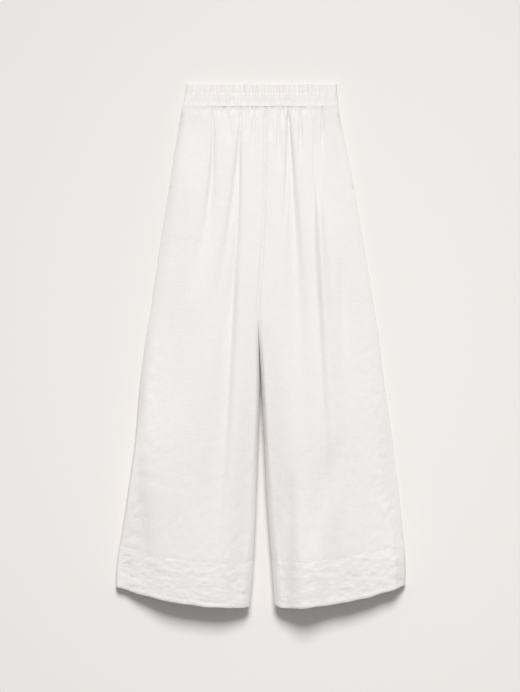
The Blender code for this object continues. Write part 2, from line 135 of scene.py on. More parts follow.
# The folds: troughs, or ridges where the depth is negative. The right flank of each follows a
# curve through three points down the cloth. width is the half width at its start and end, and grow
# tells how late it widens. lean above 1 makes the right flank the wider one. A fold that starts at
# the waist seam is partly sewn flat there.
Fold = namedtuple(
    "Fold",
    "start end x_start x_middle x_end width_start width_end depth lean grow",
    defaults=(1.6,),
)
FRONT_FOLDS = rows_of(
    Fold,
    # left leg, from the side seam inwards
    (0.043, 0.440, -0.0950, -0.0975, -0.1320, 0.0024, 0.0260, 0.0058, 1.3, 1.4),
    (0.080, 0.620, -0.1220, -0.1300, -0.1500, 0.0300, 0.0450, -0.0036, 1.0, 1.0),
    (0.043, 0.110, -0.0750, -0.0720, -0.0690, 0.0026, 0.0090, 0.0024, 1.2),
    (0.043, 0.130, -0.0650, -0.0600, -0.0560, 0.0026, 0.0100, 0.0024, 1.2),
    (0.050, 0.540, -0.0390, -0.0565, -0.0980, 0.0034, 0.0260, 0.0058, 1.2, 1.1),
    (0.043, 0.150, -0.0385, -0.0400, -0.0440, 0.0024, 0.0040, 0.0050, 1.3),
    (0.085, 0.520, -0.0395, -0.0435, -0.0520, 0.0036, 0.0150, 0.0056, 1.0),
    (0.110, 0.460, -0.0415, -0.0475, -0.0580, 0.0024, 0.0090, -0.0020, 1.0),
    (0.260, 1.080, -0.0440, -0.0590, -0.0870, 0.0110, 0.0360, 0.0098, 0.6, 1.0),
    (0.043, 0.110, -0.0235, -0.0245, -0.0265, 0.0024, 0.0060, 0.0030, 1.2),
    (0.043, 0.160, -0.0110, -0.0140, -0.0170, 0.0026, 0.0080, 0.0040, 1.2),
    (0.720, 1.500, -0.2560, -0.2540, -0.2520, 0.0300, 0.0380, 0.0094, 1.0, 1.0),
    (0.640, 1.250, -0.2460, -0.2190, -0.2070, 0.0200, 0.0280, 0.0052, 1.0, 0.5),
    # right leg, from the centre seam outwards
    (0.043, 0.120, 0.0220, 0.0210, 0.0200, 0.0024, 0.0070, 0.0040, 1.3),
    (0.043, 0.180, 0.0345, 0.0365, 0.0400, 0.0024, 0.0090, 0.0042, 1.3),
    (0.050, 0.320, 0.0525, 0.0515, 0.0460, 0.0026, 0.0070, 0.0040, 1.2),
    (0.080, 0.420, 0.0580, 0.0630, 0.0760, 0.0024, 0.0080, -0.0018, 1.0),
    (0.043, 0.960, 0.0550, 0.0860, 0.1130, 0.0030, 0.0520, 0.0090, 0.9, 1.1),
    (0.043, 0.160, 0.0780, 0.0790, 0.0810, 0.0024, 0.0070, 0.0056, 1.3),
    (0.043, 0.400, 0.1085, 0.1070, 0.1120, 0.0026, 0.0090, 0.0040, 1.2),
    (0.240, 1.040, 0.1050, 0.1300, 0.1480, 0.0100, 0.0300, 0.0036, 0.6, 1.0),
    (0.090, 1.040, 0.1017, 0.1440, 0.1800, 0.0060, 0.0340, -0.0056, 1.2, 1.0),
    (0.170, 0.560, 0.1190, 0.1260, 0.1420, 0.0060, 0.0140, -0.0020, 1.0),
    (0.043, 0.150, 0.1220, 0.1225, 0.1240, 0.0026, 0.0080, 0.0044, 1.3),
    (0.330, 0.620, 0.1600, 0.1680, 0.1780, 0.0100, 0.0160, 0.0026, 1.0),
    (0.740, 1.160, 0.0680, 0.0600, 0.0490, 0.0160, 0.0240, 0.0044, 1.0, 1.0),
    (0.780, 1.600, 0.1060, 0.1040, 0.1020, 0.0420, 0.0660, -0.0098, 1.0, 1.0),
    (0.660, 1.160, 0.1720, 0.1067, 0.0415, 0.0280, 0.0340, 0.0034, 1.0, 1.8),
    (0.830, 1.280, 0.1480, 0.1460, 0.1440, 0.0240, 0.0300, 0.0048, 1.0, 1.0),
)
BACK_FOLDS = rows_of(
    Fold,
    (0.043, 0.230, -0.122, -0.130, -0.138, 0.008, 0.018, 0.0030, 1.0),
    (0.043, 0.340, -0.088, -0.094, -0.106, 0.008, 0.022, 0.0036, 1.2),
    (0.043, 0.270, -0.052, -0.055, -0.060, 0.008, 0.020, 0.0032, 0.9),
    (0.043, 0.380, -0.018, -0.022, -0.030, 0.008, 0.022, 0.0036, 1.1),
    (0.043, 0.360, 0.032, 0.038, 0.046, 0.008, 0.022, 0.0036, 1.0),
    (0.043, 0.250, 0.066, 0.070, 0.078, 0.008, 0.020, 0.0032, 1.2),
    (0.043, 0.350, 0.100, 0.108, 0.122, 0.008, 0.022, 0.0036, 0.8),
    (0.043, 0.220, 0.132, 0.138, 0.146, 0.008, 0.018, 0.0030, 1.0),
)
AT_WAIST_SEAM = 0.18        # share of a fold's depth that is left at the waist seam
SEAM_EASE = 0.030           # the folds reach their depth this far below it
FADES_FROM = 0.35           # share of its length at which a fold starts to fade
DEEPENS_OVER = 0.25         # share of it over which one that starts in the cloth deepens
FLANK = 0.45                # a fold's middle is this many half widths to the left of its curve
SHALLOW_WIDTH = 0.007       # narrower folds than this are shallower
POCKET_TOP = 0.062          # the upper and lower ends of a pocket's mouth
POCKET_END = 0.200
POCKET_BAG_END = 0.294

# Sizes and heights of the linen's small creases
BROAD_CREASE = (0.045, 0.0006)
FINE_CREASE = (0.014, 0.00036)
SLACK_CREASE = (0.026, 0.0006)      # where the left leg's side hangs slack
ALONG_HEM_CREASE = (0.012, 0.00042)
SLANTED_HEM_CREASE = (0.017, 0.00050)
HEM_TICK = {"left": (0.0060, 0.00036), "right": (0.0060, 0.00020)}

# Depths and half widths of grooves and ridges
CENTRE_SEAM = (0.0029, 0.0034)
POCKET_SLIT = (0.0022, 0.0011)
SEWN_LINE = (0.0004, 0.0012)
HEM_EDGE_ROLL = (0.0003, 0.0025)
HEM_EDGE_FALL = (0.0006, 0.0014)
OVER_POCKET_BAG = 0.00025   # the cloth is this much higher over the bag


# --- curves ---


def smooth(value):
    """Rises softly from 0 to 1 while the value does."""
    value = np.clip(value, 0.0, 1.0)
    return value * value * (3 - 2 * value)


def between(first, last, share):
    """Goes softly from first to last."""
    return first + (last - first) * smooth(share)


def quarter_round(share):
    """Rises from 0 to 1 as a quarter of a circle does, standing up straight at 0."""
    return np.sqrt(1 - (1 - np.clip(share, 0.0, 1.0)) ** 2)


def side_round(share, curl):
    """Rises from 0 to 1 as cloth does from a side seam: bluntly where curl is 1, gently at 0."""
    share = np.clip(share, 0.0, 1.0)
    return curl * quarter_round(share) + (1 - curl) * (1 - (1 - share) ** 2)


def edge_height(down):
    """The side seams rise to the middle of the waistband."""
    return between(BAND_RISE / 2, EDGE_ROUND, (down - WAIST_SEAM) / WAIST_CURL_LENGTH)


def knee(share):
    """Rises evenly from 0, and stays at 1 from a soft bend on."""
    return (1 + share - np.sqrt((1 - share) ** 2 + 0.02)) / 2


def inside_height(down):
    """The inside leg seams leave the floor towards the hems."""
    return EDGE_ROUND + INSIDE_LIFT * smooth((down - LIFT_FROM) / LIFT_OVER)


def at(column, down):
    """A column of the section table at these distances down, on smooth curves through its rows."""
    stations = np.array([row.down for row in SECTIONS])
    values = np.array([getattr(row, column) for row in SECTIONS])
    last = len(stations) - 1
    low, high = np.maximum(np.arange(last + 1) - 1, 0), np.minimum(np.arange(last + 1) + 1, last)
    slopes = (values[high] - values[low]) / (stations[high] - stations[low])
    i = np.clip(np.searchsorted(stations, down, side="right") - 1, 0, last - 1)
    span = stations[i + 1] - stations[i]
    t = np.clip((down - stations[i]) / span, 0, 1)
    found = (
        (2 * t**3 - 3 * t**2 + 1) * values[i]
        + (t**3 - 2 * t**2 + t) * slopes[i] * span
        + (3 * t**2 - 2 * t**3) * values[i + 1]
        + (t**3 - t**2) * slopes[i + 1] * span
    )
    return np.clip(found, 0, 1) if column == "part" else found


def seams_at(leg, down):
    """(X of the side seam, X of the inner seam) of one leg."""
    if leg == "left":
        return at("side_left", down), at("inner_left", down) - SEAM_GAP / 2
    return at("side_right", down), at("inner_right", down) + SEAM_GAP / 2


def fold_depth(folds, x, down):
    """How deep the folds are at these points of the cloth."""
    depth = np.zeros_like(x)
    for fold in folds:
        t = (down - fold.start) / (fold.end - fold.start)
        middle = (1 - t) ** 2 * fold.x_start + t**2 * fold.x_end
        path = middle + 2 * t * (1 - t) * (2 * fold.x_middle - (fold.x_start + fold.x_end) / 2)
        width = fold.width_start + (fold.width_end - fold.width_start) * np.abs(t) ** fold.grow
        fade = 1 - smooth((t - FADES_FROM) / (1 - FADES_FROM))
        if fold.start > WAIST_SEAM:
            fade = fade * smooth(t / DEEPENS_OVER)
        else:
            fade = fade * between(AT_WAIST_SEAM, 1.0, (down - WAIST_SEAM) / SEAM_EASE)
        off = (x - path) / np.maximum(width, 1e-4) + FLANK
        off = np.where(off > 0, off / fold.lean, off * fold.lean)
        fade = fade * np.minimum(1.0, 0.25 + 0.75 * width / SHALLOW_WIDTH)
        shape = np.exp(-1.5 * np.abs(off) ** (1.7 + 0.3 * smooth((width - 0.008) / 0.008)))
        depth += np.where((t >= 0) & (t <= 1), fold.depth * fade * shape, 0.0)
    return depth


def waves(x, y, size, seed, octaves=3):
    """Smooth irregular waves from -1 to 1, size across."""
    place = Vector((0.0, 0.0, seed * 7.31))
    found = np.empty(x.size)
    for i, (a, b) in enumerate(zip(x.ravel() / size, y.ravel() / size)):
        place.x, place.y = a, b
        found[i] = noise.fractal(place, 1.0, 2.0, octaves)
    return found.reshape(x.shape)


# --- the ruches of the waist ---

# A pleat of the waistband: its tilt in the channel and in the frill, its strength there and below
# the waist seam, how far it runs below that seam, and its half width.
Pleat = namedtuple("Pleat", "x lean slant frill channel gather length width")


def pleats(seed):
    """The uneven pleats that the elastic draws up, from the left side to the right."""
    chance = random.Random(seed)
    made = []
    x = -0.156
    while x < 0.160:
        x += chance.uniform(0.0036, 0.0072)
        full = 0.35 + 0.65 * float(smooth((x + 0.118) / 0.02) * smooth((0.134 - x) / 0.02))
        made.append(
            Pleat(
                x=x,
                lean=chance.uniform(-0.05, 0.05),
                slant=chance.uniform(-0.12, 0.12),
                frill=chance.uniform(0.9, 2.5) * (0.7 + 0.3 * full),
                channel=chance.uniform(0.4, 1.4) * (0.5 + 0.5 * full),
                gather=chance.uniform(0.5, 2.6) * full,
                length=chance.uniform(0.008, 0.045) * full + 0.006,
                width=chance.uniform(0.0011, 0.0020),
            )
        )
    return made


FRONT_PLEATS = pleats(11)
BACK_PLEATS = pleats(23)


def pleat_depth(made, x, down, part):
    """The pleats' grooves, 1 mm deep for a strength of 1. part is the column that gives it."""
    depth = np.zeros_like(x)
    for pleat in made:
        tilt = pleat.slant if part == "frill" else pleat.lean
        off = (x - pleat.x - tilt * (down - FRILL)) / pleat.width
        depth += 0.001 * getattr(pleat, part) * np.exp(-(off**2))
    return depth


def seam_pull(folds, x, away):
    """Small deep dimples where the folds meet the waist seam."""
    depth = np.zeros_like(x)
    for fold in folds:
        if fold.start == WAIST_SEAM:
            depth += 0.10 * fold.depth * np.exp(-(((x - fold.x_start) / 0.0015) ** 2))
    return depth * np.exp(-((away / 0.0018) ** 2))


def seam_sway(x):
    """The front waist seam isn't quite straight."""
    return 0.0011 * waves(x, 0 * x, 0.026, 43, octaves=2)


def gathers(made, x, down):
    """The pleats run out below the waist seam as short gathers."""
    depth = np.zeros_like(x)
    for pleat in made:
        below = (down - WAIST_SEAM) / pleat.length
        width = pleat.width * (1 + 1.2 * np.clip(below, 0, 1))
        off = (x - pleat.x - pleat.lean * (down - FRILL)) / width
        depth += 0.001 * pleat.gather * np.exp(-(off**2)) * (1 - smooth(below))
    return depth * (0.25 + 0.75 * smooth((down - WAIST_SEAM) / 0.006))


# --- hems ---


def corner_lift(leg, across):
    """A hem is a little shorter at its inside corner."""
    return HEMS[leg].corner * np.maximum(0.0, 1 - (1 - across) / HEM_CORNER) ** 2


def hem_line(leg, across):
    """How far down the hem lies. It waves a little."""
    hem = HEMS[leg]
    level = 1 - (1 - across) ** HEM_BEND
    wave = 0.0007 * np.sin(31 * across + hem.line_start) * np.sin(7 * across)
    return hem.at_side + (hem.at_inside - hem.at_side) * level - corner_lift(leg, across) + wave


def hem_seam(leg, across):
    """How far down the seam between a leg and its hem lies."""
    hem = HEMS[leg]
    depth = hem.depth_side + (hem.depth_inside - hem.depth_side) * across
    level = 1 - (1 - across) ** HEM_BEND
    wave = 0.0009 * np.sin(23 * across + hem.seam_start) + 0.0006 * np.sin(61 * across)
    return hem.at_side + (hem.at_inside - hem.at_side) * level - depth + wave


# --- surfaces ---


def creases(x, y, size_and_height, seed, octaves=3):
    """Irregular creases of this size and height."""
    size, height = size_and_height
    return waves(x, y, size, seed, octaves) * height


def crinkles(leg, x, down):
    """Creases of washed linen: faint below the waist, and stronger towards the hem and the side."""
    seed = 3 if leg == "left" else 5
    side = seams_at(leg, down)[0]
    outer = (1 - smooth((np.abs(x - side) - 0.01) / 0.05)) * smooth((down - 0.30) / 0.4)
    broad = creases(x, down * 0.22, BROAD_CREASE, seed, octaves=2)
    fine = creases(x + down * 0.3, down, FINE_CREASE, seed + 1, octaves=2)
    grow = 0.25 + 0.75 * smooth((down - 0.45) / 0.5)
    found = broad * grow + fine * (grow + 1.4 * outer)
    if leg == "left":
        slack = smooth((down - 0.66) / 0.12) * (1 - smooth((x - side - 0.030) / 0.050))
        slack = slack * (1 - 0.8 * smooth((down - 0.88) / 0.05))
        found = found + creases(x * 0.7 - down * 0.4, down, SLACK_CREASE, 61) * slack
    return found


def hem_crinkles(leg, x, down):
    """The hem's creases run along it, and slant where it is pressed."""
    seed = 13 if leg == "left" else 17
    along = creases(x * 0.40 + down * 0.3, down, ALONG_HEM_CREASE, seed)
    slant = creases(x * 0.6 - down * 0.8, down + x * 0.35, SLANTED_HEM_CREASE, seed + 1)
    patch = 0.4 + 0.6 * smooth(0.5 + waves(x, down, 0.045, seed + 2, octaves=2))
    ticks = creases(x, down * 0.8, HEM_TICK[leg], seed + 3)
    return (along + slant) * patch * 1.2 + ticks


def groove(distance, depth, width):
    """A soft groove along a line, at these distances from it."""
    return depth * np.exp(-((distance / width) ** 2))


def pocket_slit(side, x, down):
    """The pocket's mouth: a narrow slit beside the side seam."""
    ends = smooth((down - POCKET_TOP) / 0.008) * smooth((POCKET_END - down) / 0.020)
    return ends * groove(np.abs(x - side) - 0.0035, *POCKET_SLIT)


def pocket_edge(side, x, down):
    """The cloth stands a little higher over the pocket bag."""
    above = 1 - smooth((down - POCKET_BAG_END) / 0.014)
    return OVER_POCKET_BAG * above * (1 - smooth((np.abs(x - side) - 0.075) / 0.02))


def side_turn(leg, across, down):
    """How far the front has risen from its side seam, from 0 to 1."""
    stand = STANDS[leg]
    curl = SIDE_CURL + stand.waist_curl * (1 - smooth((down - WAIST_SEAM) / WAIST_CURL_LENGTH))
    rounded = side_round(across / at("round_out", down), curl)
    wall = between(stand.wall_high, stand.wall_low, (down - WALL_CHANGES_FROM) / WALL_CHANGES_OVER)
    reach = between(stand.reach_high, stand.reach_low, (down - stand.reach_from) / stand.reach_over)
    walled = wall * quarter_round(across / WALL_WIDTH) + (1 - wall) * knee(across / reach)
    below = smooth((down - WALLED_FROM) / 0.16)
    return (1 - below) * rounded + below * walled


def inside_turn(leg, across, down):
    """How far it has risen from its inside leg seam. It is 1 where the legs haven't parted."""
    risen = side_round((1 - across) / at("round_in", down), STANDS[leg].inside_curl)
    return 1 - at("part", down) * (1 - risen)


def leg_height(leg, across, down):
    """The height of the front between its seams, before its folds."""
    shoulder = at(f"shoulder_{leg}", down)
    crown_at = CROWN_AT - STANDS[leg].crown_nearer * smooth((down - WALLED_FROM) / 0.25)
    share = shoulder + (1 - shoulder) * smooth(across / crown_at)
    share = share - at("drop", down) * smooth((across - DROP_FROM) / (1 - DROP_FROM))
    return at(f"crown_{leg}", down) * share


def front_relief(leg, x, down, hem):
    """The crinkles, gathers, centre seam and pocket of the front."""
    side, inner = seams_at(leg, down)
    sewn = (1 - at("part", down)) * between(0.3, 1.0, (down - WAIST_SEAM) / SEAM_EASE)
    relief = crinkles(leg, x, down) - gathers(FRONT_PLEATS, x, down)
    relief = relief - seam_pull(FRONT_FOLDS, x, down - WAIST_SEAM)
    relief = relief - groove(np.abs(x - inner), *CENTRE_SEAM) * sewn
    relief = relief - pocket_slit(side, x, down) + pocket_edge(side, x, down)
    return relief + hem_crinkles(leg, x, down) if hem else relief


def front_surface(leg, across, down, hem=False):
    """Points on the outer face of the front, as arrays."""
    side, inner = seams_at(leg, down)
    x = side + (inner - side) * across
    cloth = HEM_WALL if hem else LINEN
    outside, inside = edge_height(down) + cloth, inside_height(down) + cloth
    at_inside = at("part", down) * (1 - smooth((1 - across) / at("round_in", down)))
    level = smooth(across / at("round_out", down)) * (1 - at_inside)
    height = leg_height(leg, across, down) - fold_depth(FRONT_FOLDS, x, down)
    z = outside + (height - outside) * side_turn(leg, across, down)
    z = z + front_relief(leg, x, down, hem) * level
    return x, down, inside + (z - inside) * inside_turn(leg, across, down)


def back_surface(leg, across, down):
    """Points on the underside of the back, which lies on the floor and turns up at the seams."""
    side, inner = seams_at(leg, down)
    x = side + (inner - side) * across
    part = at("part", down)
    flat = smooth(across / 0.12) * smooth((1 - across) / 0.06)
    gathered = fold_depth(BACK_FOLDS, x, down) + gathers(BACK_PLEATS, x, down)
    edge = edge_height(down)
    turn_out = edge * (1 - quarter_round(np.abs(x - side) / edge))
    turn_in = inside_height(down) * (1 - quarter_round(np.abs(x - inner) / 0.008)) * part
    return x, down, gathered * flat + np.maximum(turn_out, turn_in)


# --- making pieces ---

# Steps across and down of a leg's sheets. edges is how much closer the columns are at both sides,
# and early how much closer the rows are at the top, each from 0, even, to 1.
Mesh = namedtuple("Mesh", "across down edges early")
FRONT_MESH = Mesh(190, 240, 0.3, 0.5)
FRONT_HEM_MESH = Mesh(150, 56, 0.5, 0.0)
BACK_MESH = Mesh(76, 170, 0.8, 0.6)
BACK_HEM_MESH = Mesh(76, 24, 0.8, 0.0)

CENTRE_TUCK = 0.0028        # the fronts turn in this far at the centre seam
BAND_TUCK = ((0.0001, 0.0008), (0.0028, 0.0038))    # up and in, under the waistband
SMOOTH_ANGLE = math.radians(60)


def bunched(count, edges):
    """count + 1 shares from 0 to 1, closer together at both ends. edges is from 0, even, to 1."""
    t = np.linspace(0, 1, count + 1)
    return t - edges * np.sin(2 * math.pi * t) / (2 * math.pi)


def down_grid(leg, mesh, top, bottom):
    """Arrays of across and down. top and bottom are functions that give a sheet's two ends."""
    across = bunched(mesh.across, mesh.edges)
    steps = np.linspace(0, 1, mesh.down + 1)
    steps = (1 - mesh.early) * steps + mesh.early * steps**2
    a = np.broadcast_to(across, (len(steps), len(across)))
    high, low = top(leg, a), bottom(leg, a)
    return a, high + (low - high) * steps[:, None]


def front_start(leg, across):
    """How far down the front starts, at the waist seam."""
    side, inner = seams_at(leg, WAIST_SEAM)
    return WAIST_SEAM + SEAM_GAP + seam_sway(side + (inner - side) * across)


def back_start(leg, across):
    """How far down the back starts: the same on both legs."""
    return np.full_like(across, WAIST_SEAM + SEAM_GAP)


def leg_end(leg, across):
    """How far down a leg ends, at its hem band."""
    return hem_seam(leg, across) - SEAM_GAP / 2


def hem_start(leg, across):
    """How far down its hem band starts."""
    return hem_seam(leg, across) + SEAM_GAP / 2


def oriented(leg, points):
    """Turns a grid of (x, down, z) whose rows run down and whose columns run from the side seam
    inwards into rows of points that run towards +Y and columns that run towards +X."""
    grid = np.stack(points, axis=-1)[::-1]
    grid[..., 1] = TOP - grid[..., 1]
    return grid if leg == "left" else grid[:, ::-1]


def new_sheet(name, grid):
    """A grid primitive with its points moved to these places, and a UV map in metres of cloth."""
    rows, columns = grid.shape[:2]
    bpy.ops.object.select_all(action="DESELECT")
    bpy.ops.mesh.primitive_grid_add(x_subdivisions=columns - 1, y_subdivisions=rows - 1, size=1.0)
    piece = bpy.context.object
    piece.name = piece.data.name = name
    mesh = piece.data
    start = np.empty(len(mesh.vertices) * 3)
    mesh.vertices.foreach_get("co", start)
    start = start.reshape(-1, 3)
    column = np.rint((start[:, 0] + 0.5) * (columns - 1)).astype(int)
    row = np.rint((start[:, 1] + 0.5) * (rows - 1)).astype(int)
    mesh.vertices.foreach_set("co", np.ascontiguousarray(grid[row, column]).ravel())
    lay_uv(mesh, cloth_lengths(grid)[row, column])
    mesh.update()
    return piece


def cloth_lengths(grid):
    """The two distances along the cloth of each point: across from the middle column, and down."""
    across = np.linalg.norm(np.diff(grid, axis=1), axis=2)
    across = np.concatenate([np.zeros((len(grid), 1)), np.cumsum(across, axis=1)], axis=1)
    across = across - across[:, [grid.shape[1] // 2]]
    along = np.linalg.norm(np.diff(grid, axis=0), axis=2).mean(axis=1)
    along = np.concatenate([[0.0], np.cumsum(along)])
    return np.stack([across, np.broadcast_to(along[:, None], across.shape)], axis=-1)


def lay_uv(mesh, places):
    """Gives each corner of the mesh the place on the cloth of its point."""
    layer = mesh.uv_layers.active or mesh.uv_layers.new(name="cloth")
    layer.name = "cloth"
    corners = np.empty(len(mesh.loops), dtype=int)
    mesh.loops.foreach_get("vertex_index", corners)
    layer.data.foreach_set("uv", np.ascontiguousarray(places[corners]).ravel())


def thicken(piece, wall, offset=-1.0):
    """Gives a sheet its thickness, under it, or on it where offset is 1."""
    bpy.context.view_layer.objects.active = piece
    bpy.ops.object.modifier_add(type="SOLIDIFY")
    solidify = piece.modifiers[-1]
    solidify.thickness = wall
    solidify.offset = offset
    solidify.use_even_offset = False
    bpy.ops.object.modifier_apply(modifier=solidify.name)
    bpy.ops.object.shade_smooth_by_angle(angle=SMOOTH_ANGLE)


def finish_cloth(piece, node, finish):
    """Dresses a sheet of linen and puts it in the place of its solid."""
    piece.data.materials.clear()
    piece.data.materials.append(finish)
    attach(piece, "root")
    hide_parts(node)


def front_leg(leg):
    """The front panel of a leg, from the waist seam to its hem band."""
    a, down = down_grid(leg, FRONT_MESH, front_start, leg_end)
    x, down, z = front_surface(leg, a, down)
    above = hem_seam(leg, a) - down
    z = z - (sewn_line(x, above) + pucker(x, above)) * smooth(a / 0.05)
    grid = oriented(leg, (x, down, z))
    grid = tucked_under_band(tucked_at_centre(leg, grid))
    piece = new_sheet(f"front_{leg}", grid)
    thicken(piece, LINEN)
    return piece


def tucked_at_centre(leg, grid):
    """Adds two columns that turn the cloth in at the centre seam, as far as the seam goes."""
    edge = grid[:, -1] if leg == "left" else grid[:, 0]
    depth = CENTRE_TUCK * (1 - at("part", TOP - edge[:, 1]))
    added = []
    for share in (0.3, 1.0):
        column = edge.copy()
        column[:, 2] -= depth * share + 0.0002 * share
        added.append(column[:, None])
    if leg == "left":
        return np.concatenate([grid, *added], axis=1)
    return np.concatenate([*added[::-1], grid], axis=1)


def tucked_under_band(grid):
    """Adds two rows that turn the cloth in under the waistband."""
    edge = grid[-1]
    rows = []
    for up, deep in BAND_TUCK:
        row = edge.copy()
        row[:, 1] += up
        row[:, 2] = np.maximum(row[:, 2] - deep, EDGE_ROUND)
        rows.append(row[None])
    return np.concatenate([grid, *rows])


def front_hem(leg):
    """The hem band of a front panel, with the roll of its turned edge."""
    a, down = down_grid(leg, FRONT_HEM_MESH, hem_start, hem_line)
    x, down, z = front_surface(leg, a, down, hem=True)
    inside = smooth(a / 0.05) * smooth((1 - a) / 0.03)
    seam = down - hem_seam(leg, a)
    edge = hem_line(leg, a) - down
    z = z + (0.0002 - sewn_line(x, seam) - pucker(x, seam)) * inside
    z = z + (groove(edge - 0.0045, *HEM_EDGE_ROLL) - groove(edge, *HEM_EDGE_FALL)) * inside
    grid = oriented(leg, (x, down, z))
    piece = new_sheet(f"hem_{leg}", grid)
    thicken(piece, HEM_WALL)
    return piece


def sewn_line(x, away):
    """The groove of a seam, deeper where its stitches pull."""
    pull = 0.5 + 0.5 * np.sin(x / 0.0012) * np.sin(x / 0.0047)
    return groove(away, *SEWN_LINE) * pull


def pucker(x, below):
    """Short dents along a sewn line."""
    dents = np.clip(waves(x, below * 0.3, 0.0075, 29, octaves=2), 0, 1)
    return 0.0009 * dents * np.exp(-np.clip(below, 0, 1) / 0.007)


def back_leg(leg):
    """The back panel of a leg. It lies on the floor, so its thickness is on top."""
    a, down = down_grid(leg, BACK_MESH, back_start, leg_end)
    piece = new_sheet(f"back_{leg}", oriented(leg, back_surface(leg, a, down)))
    thicken(piece, LINEN, offset=1.0)
    return piece


def back_hem(leg):
    """The hem band of a back panel."""
    a, down = down_grid(leg, BACK_HEM_MESH, hem_start, hem_line)
    piece = new_sheet(f"back_hem_{leg}", oriented(leg, back_surface(leg, a, down)))
    thicken(piece, HEM_WALL, offset=1.0)
    return piece


# --- waistband ---

BAND_STEPS = 480            # along the band, from side seam to side seam
BAND_TURN = 0.00685         # radius of the band's sides, at the middle of its wall
BAND_WALL = 0.0006
ELASTIC_STEPS = 720         # along the elastic
ELASTIC_WALL = 0.0006
ELASTIC_WIDTH = 0.0200
BAND_EDGE = 0.0011          # from the middle of the wall to the outside, at the waist seam
STITCH_PULL = 0.00025       # how much less that is at the frill's stitched line
CHANNEL_SWELL = 0.0011      # the same at the fullest part of the channel
FRILL_HALF = 0.0010         # the same in the frill


def band_outline(down):
    """(X of the middle, half width) of the waistband."""
    t = np.clip(down / WAIST_SEAM, 0, 1)
    return 0.0018 - 0.0027 * t**2, 0.1488 + 0.0044 * t**2


def band_profile():
    """The folded strip from its outer lower edge, over the frill's fold, to its inner lower edge,
    as arrays of down, distance outwards, and the strength of the frill's and channel's pleats."""
    rows = []
    for t in np.linspace(0, 1, 17):
        swell = math.sin(math.pi * t) ** 1.2 if t < 1 else 0.0
        out = BAND_EDGE - STITCH_PULL * float(smooth((t - 0.7) / 0.3))
        out = out + (CHANNEL_SWELL - out) * swell
        rows.append((WAIST_SEAM - (WAIST_SEAM - FRILL) * t, out, 0.35 * t, 0.25 + 0.75 * swell))
    for t in np.linspace(0, 1, 15)[1:]:
        out = FRILL_HALF - (FRILL_HALF - BAND_EDGE + STITCH_PULL) * (1 - smooth(t / 0.12))
        rows.append((FRILL * (1 - t), out, 0.35 + 0.65 * smooth(t / 0.2), 0.0))
    for t in np.linspace(0, 1, 5)[1:]:
        angle = math.pi * t
        rows.append((-0.0001 * math.sin(angle), FRILL_HALF * math.cos(angle), 1.0, 0.0))
    for t in np.linspace(0, 1, 7)[1:]:
        rows.append((FRILL * t, -FRILL_HALF, 1 - smooth((t - 0.75) / 0.25), 0.0))
    for t in np.linspace(0, 1, 7)[1:]:
        down = FRILL + (WAIST_SEAM - FRILL) * t
        rows.append((down, -FRILL_HALF - 0.0008 * smooth(t / 0.3), 0.0, 0.0))
    return np.array(rows, dtype=float).T


def band_grid(face, made):
    """The front (face 1) or back (face -1) half of the waistband, side seam to side seam."""
    down, out, frill, channel = (row[:, None] for row in band_profile())
    middle, half = band_outline(down)
    flat = half - CHANNEL_SWELL - BAND_TURN
    turn_length = BAND_TURN * math.pi / 2
    whole = 2 * (turn_length + flat)
    along = np.linspace(0, 1, BAND_STEPS + 1)[None, :] * whole
    turn = np.minimum(np.minimum(along, whole - along) / turn_length, 1) * math.pi / 2
    end = np.where(along < whole / 2, -1.0, 1.0)
    level = np.clip(along - turn_length, 0, 2 * flat) - flat
    out_x, out_z = end * np.cos(turn), np.sin(turn)
    x = middle + level + out_x * BAND_TURN
    ruche = pleat_depth(made, x, down, "frill") * frill * 0.9
    swell = pleat_depth(made, x, down, "channel") * channel
    swell = swell + seam_pull(FRONT_FOLDS, x, down - WAIST_SEAM) * channel
    sway = waves(x, down * 0.6, 0.012, 31, octaves=2) * 0.0005 * frill
    out = out + np.broadcast_to(sway - ruche * (1 if face == 1 else 0.5) - swell, x.shape)
    y = TOP - down - 0.0007 * np.clip(pleat_depth(made, x, down, "frill") * 1000, 0, 1) * frill
    if face == 1:
        y = y - seam_sway(x) * smooth((down - FRILL) / (WAIST_SEAM - FRILL))
    z = SEAM_GAP / 2 + BAND_TURN * out_z + out * out_z
    z = BAND_RISE / 2 + face * z
    grid = np.stack([x + out * out_x, np.broadcast_to(y, x.shape), z], axis=-1)
    grid[..., 2] = np.maximum(grid[..., 2], 0.0)
    return grid if face == 1 else grid[:, ::-1]


def elastic():
    """The elastic in its channel: a strip whose two ends meet at the middle of the back."""
    down = np.linspace(FRILL + ELASTIC_WIDTH, FRILL + 0.0015, 8)[:, None]
    middle, half = band_outline(down)
    radius = BAND_TURN - 0.0005
    flat = half - CHANNEL_SWELL - BAND_TURN
    along = np.linspace(0.0005, 0.9995, ELASTIC_STEPS + 1)[None, :] * (4 * flat + 2 * math.pi * radius)
    turned = np.clip((along - flat) / radius, 0, math.pi)
    turned = turned + np.clip((along - 3 * flat) / radius - math.pi, 0, math.pi)
    heading, step = (turned[:, 1:] + turned[:, :-1]) / 2, np.diff(along, axis=1)
    start = np.zeros_like(down)
    x = middle - along[:, :1] - np.hstack([start, np.cumsum(np.cos(heading) * step, axis=1)])
    z = BAND_RISE / 2 - radius + np.hstack([start, np.cumsum(np.sin(heading) * step, axis=1)])
    piece = new_sheet("elastic", np.stack([x, np.broadcast_to(TOP - down, x.shape), z], axis=-1))
    thicken(piece, ELASTIC_WALL)
    return piece


def waistband(face, made):
    """One half of the waistband: the front where face is 1, the back where it is -1."""
    name = "waistband" if face == 1 else "waistband_rear"
    piece = new_sheet(name, band_grid(face, made))
    thicken(piece, BAND_WALL)
    return piece


# --- sewing ---

